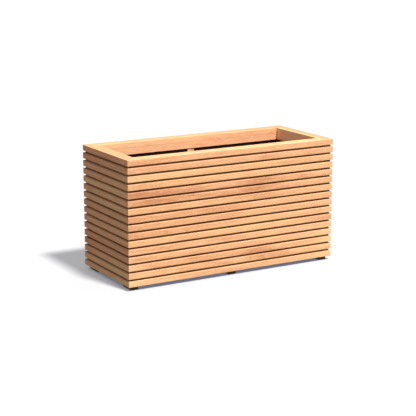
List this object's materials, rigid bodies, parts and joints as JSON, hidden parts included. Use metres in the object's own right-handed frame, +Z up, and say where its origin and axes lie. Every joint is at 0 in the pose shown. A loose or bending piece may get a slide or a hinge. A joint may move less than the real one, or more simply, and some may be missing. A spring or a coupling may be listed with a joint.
{
  "type": "wooden planter",
  "caption": "Long rectangular floor planter of mitred shiplap slats with shadow gaps, a wide mitred rim, an inner collar, a black liner and low block feet; holds soil and plants.",
  "frame": {"origin": "on the floor, under the middle of the planter", "axes": "+X along the length, to the right as seen from the front; +Y from front to back; +Z up"},
  "size_m": [1.2, 0.5, 0.65],
  "materials": {
    "larch": "planed and oiled softwood",
    "frame_wood": "sawn softwood",
    "dowel_beech": "turned, plain",
    "liner_black": "matt sheet",
    "foot_black": "matt moulded",
    "screw_steel": "passivated"
  },
  "bodies": {
    "root": {"slat_course_01": "larch", "slat_course_02": "larch", "slat_course_03": "larch", "slat_course_04": "larch", "slat_course_05": "larch", "slat_course_06": "larch", "slat_course_07": "larch", "slat_course_08": "larch", "slat_course_09": "larch", "slat_course_10": "larch", "slat_course_11": "larch", "slat_course_12": "larch", "slat_course_13": "larch", "slat_course_14": "larch", "slat_course_15": "larch", "rim_front": "larch", "rim_right": "larch", "rim_back": "larch", "rim_left": "larch", "collar_front": "larch", "collar_right": "larch", "collar_back": "larch", "collar_left": "larch", "liner_strip_front": "larch", "liner_strip_back": "larch", "corner_post_front_left": "frame_wood", "corner_post_front_right": "frame_wood", "corner_post_back_right": "frame_wood", "corner_post_back_left": "frame_wood", "middle_post_front": "frame_wood", "middle_post_back": "frame_wood", "top_rail_front": "frame_wood", "top_rail_right": "frame_wood", "top_rail_back": "frame_wood", "top_rail_left": "frame_wood", "bearer_left": "frame_wood", "bearer_middle": "frame_wood", "bearer_right": "frame_wood", "floor_board_1": "frame_wood", "floor_board_2": "frame_wood", "floor_board_3": "frame_wood", "floor_board_4": "frame_wood", "liner": "liner_black", "foot_front_left": "foot_black", "foot_front_middle": "foot_black", "foot_front_right": "foot_black", "foot_back_left": "foot_black", "foot_back_middle": "foot_black", "foot_back_right": "foot_black", "slat_screws": "screw_steel", "rim_screws": "screw_steel", "strip_screws": "screw_steel", "foot_screws": "screw_steel", "floor_screws": "screw_steel", "collar_brads": "screw_steel", "rim_dowels": "dowel_beech", "frame_dowels": "dowel_beech"}
  },
  "joints": []
}
